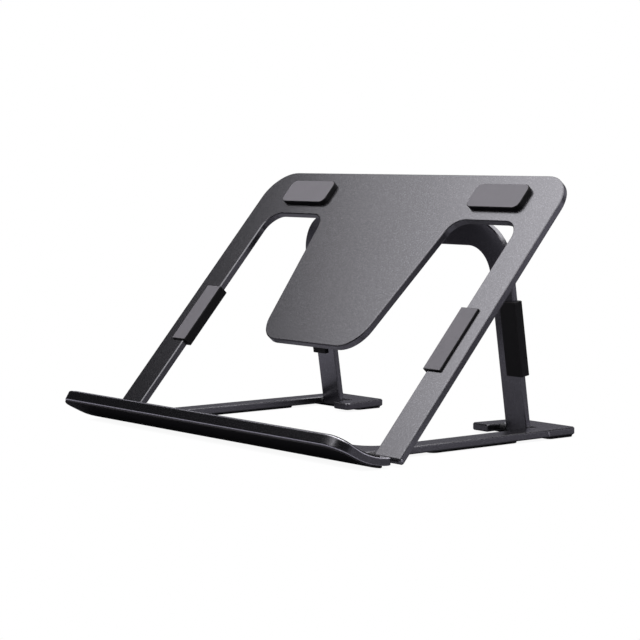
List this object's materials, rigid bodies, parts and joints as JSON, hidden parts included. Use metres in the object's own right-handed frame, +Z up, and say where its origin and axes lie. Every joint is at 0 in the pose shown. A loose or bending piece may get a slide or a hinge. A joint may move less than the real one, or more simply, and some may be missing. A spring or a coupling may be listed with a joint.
{
  "type": "laptop stand",
  "caption": "Folding laptop stand of anodised aluminium plate: sloping tray with a curled front lip, an arch that props it up, and a flat base that the tray and arch fold onto.",
  "frame": {"origin": "middle of the stand's rectangle on the desk, at the height of the foot pads' undersides", "axes": "+X to the right of someone sitting at the laptop, across the stand and along both hinge axes; -Y towards that person and the lip; +Z up"},
  "size_m": [0.25, 0.1852, 0.1394],
  "materials": {
    "body_metal": "space-grey anodised, fine bead-blasted grain, with bright bevels",
    "grey_silicone": "matte mid-grey silicone",
    "black_silicone": "matte black silicone",
    "steel": "dark oxidised steel",
    "washer_plastic": "matte black nylon"
  },
  "bodies": {
    "base": {"base_plate": "body_metal", "front_lip": "body_metal", "lip_screws": "steel", "lip_inner_pad": "black_silicone", "lip_under_pad": "black_silicone", "bar_foot_pad_left": "black_silicone", "bar_foot_pad_right": "black_silicone", "rear_foot_pad_left": "black_silicone", "rear_foot_pad_right": "black_silicone", "front_hinge_pin_left": "steel", "front_hinge_pin_right": "steel", "front_spacer_left": "washer_plastic", "front_spacer_right": "washer_plastic", "arch_hinge_pin_left": "steel", "arch_hinge_pin_right": "steel", "leg_washers_left": "washer_plastic", "leg_washers_right": "washer_plastic"},
    "tray": {"tray_plate": "body_metal", "tray_rest_pad": "black_silicone", "crossbar_pad_left": "grey_silicone", "crossbar_pad_right": "grey_silicone", "arm_clip_left": "grey_silicone", "arm_clip_right": "grey_silicone"},
    "arch": {"arch_plate": "body_metal", "leg_sleeve_left": "black_silicone", "leg_sleeve_right": "black_silicone"}
  },
  "joints": [
    {"name": "tray_lift", "type": "hinge", "parent": "base", "child": "tray", "pos_m": [0, -0.05134, 0.00325], "axis": [1, 0, 0], "range_deg": [0, 41.4]},
    {"name": "arch_fold", "type": "hinge", "parent": "base", "child": "arch", "pos_m": [0, 0.07196, 0.00325], "axis": [1, 0, 0], "range_deg": [0, 81.39]}
  ],
  "couplings": [
    {"joint": "arch_fold", "follows": "tray_lift", "ratio": 1.9654}
  ]
}
